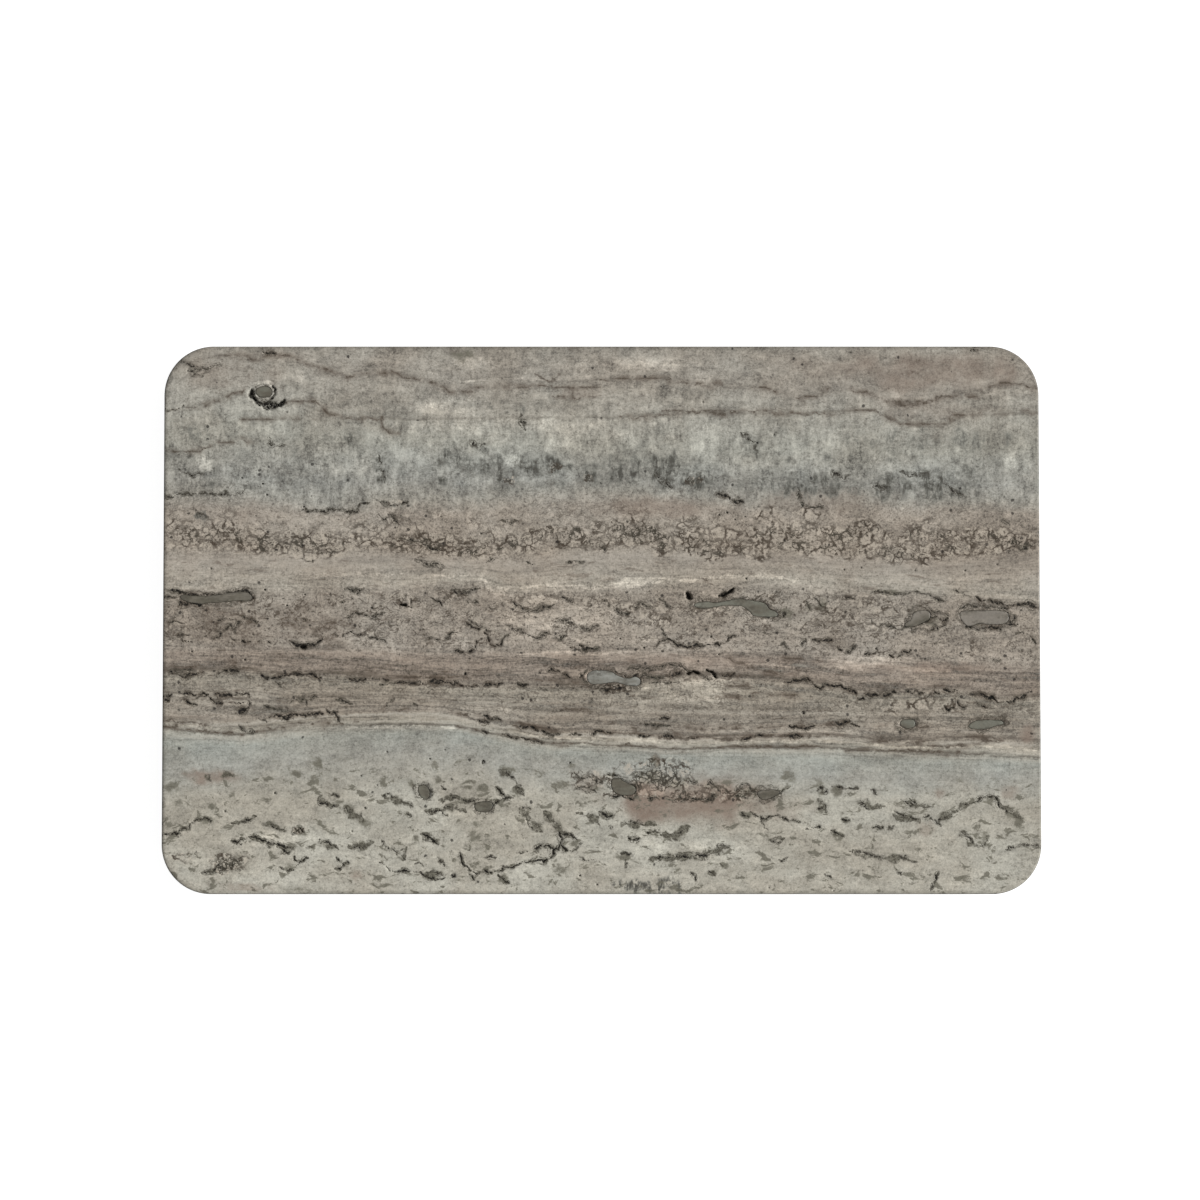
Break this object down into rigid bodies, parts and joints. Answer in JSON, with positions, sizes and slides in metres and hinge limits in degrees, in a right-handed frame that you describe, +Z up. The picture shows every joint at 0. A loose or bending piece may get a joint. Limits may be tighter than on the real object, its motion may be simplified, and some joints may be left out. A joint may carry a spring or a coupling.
{
  "type": "stone serving tray",
  "caption": "Flat rectangular travertine board with rounded corners, filled holes and low bumper feet, for serving or display.",
  "frame": {"origin": "on the table under the middle of the slab", "axes": "+X runs along the slab's long side, +Z is up, -Y is the front edge"},
  "size_m": [0.4, 0.25, 0.0192],
  "materials": {
    "travertine": "honed, banded travertine with open pores and cracks",
    "green_grey_filler": "smooth honed mastic, green-grey",
    "brown_grey_filler": "smooth honed mastic, brown-grey",
    "blue_grey_filler": "smooth honed mastic, pale blue-grey",
    "foot_rubber": "matt black bumper",
    "foot_adhesive": "off-white foam tape"
  },
  "bodies": {
    "root": {"stone_slab": "travertine", "fill_back_left": "green_grey_filler", "fill_left_lens": "brown_grey_filler", "fill_mid_seam": "green_grey_filler", "fill_right_lens": "brown_grey_filler", "fill_right_oval": "brown_grey_filler", "fill_mid_patch": "blue_grey_filler", "fill_front_vug": "green_grey_filler", "fill_front_seam": "brown_grey_filler", "fill_right_diamond": "green_grey_filler", "fill_right_leaf": "green_grey_filler", "fill_front_square": "green_grey_filler", "fill_front_oval": "green_grey_filler", "foot_front_left": "foot_rubber", "foot_front_right": "foot_rubber", "foot_back_left": "foot_rubber", "foot_back_right": "foot_rubber", "adhesive_front_left": "foot_adhesive", "adhesive_front_right": "foot_adhesive", "adhesive_back_left": "foot_adhesive", "adhesive_back_right": "foot_adhesive"}
  },
  "joints": []
}
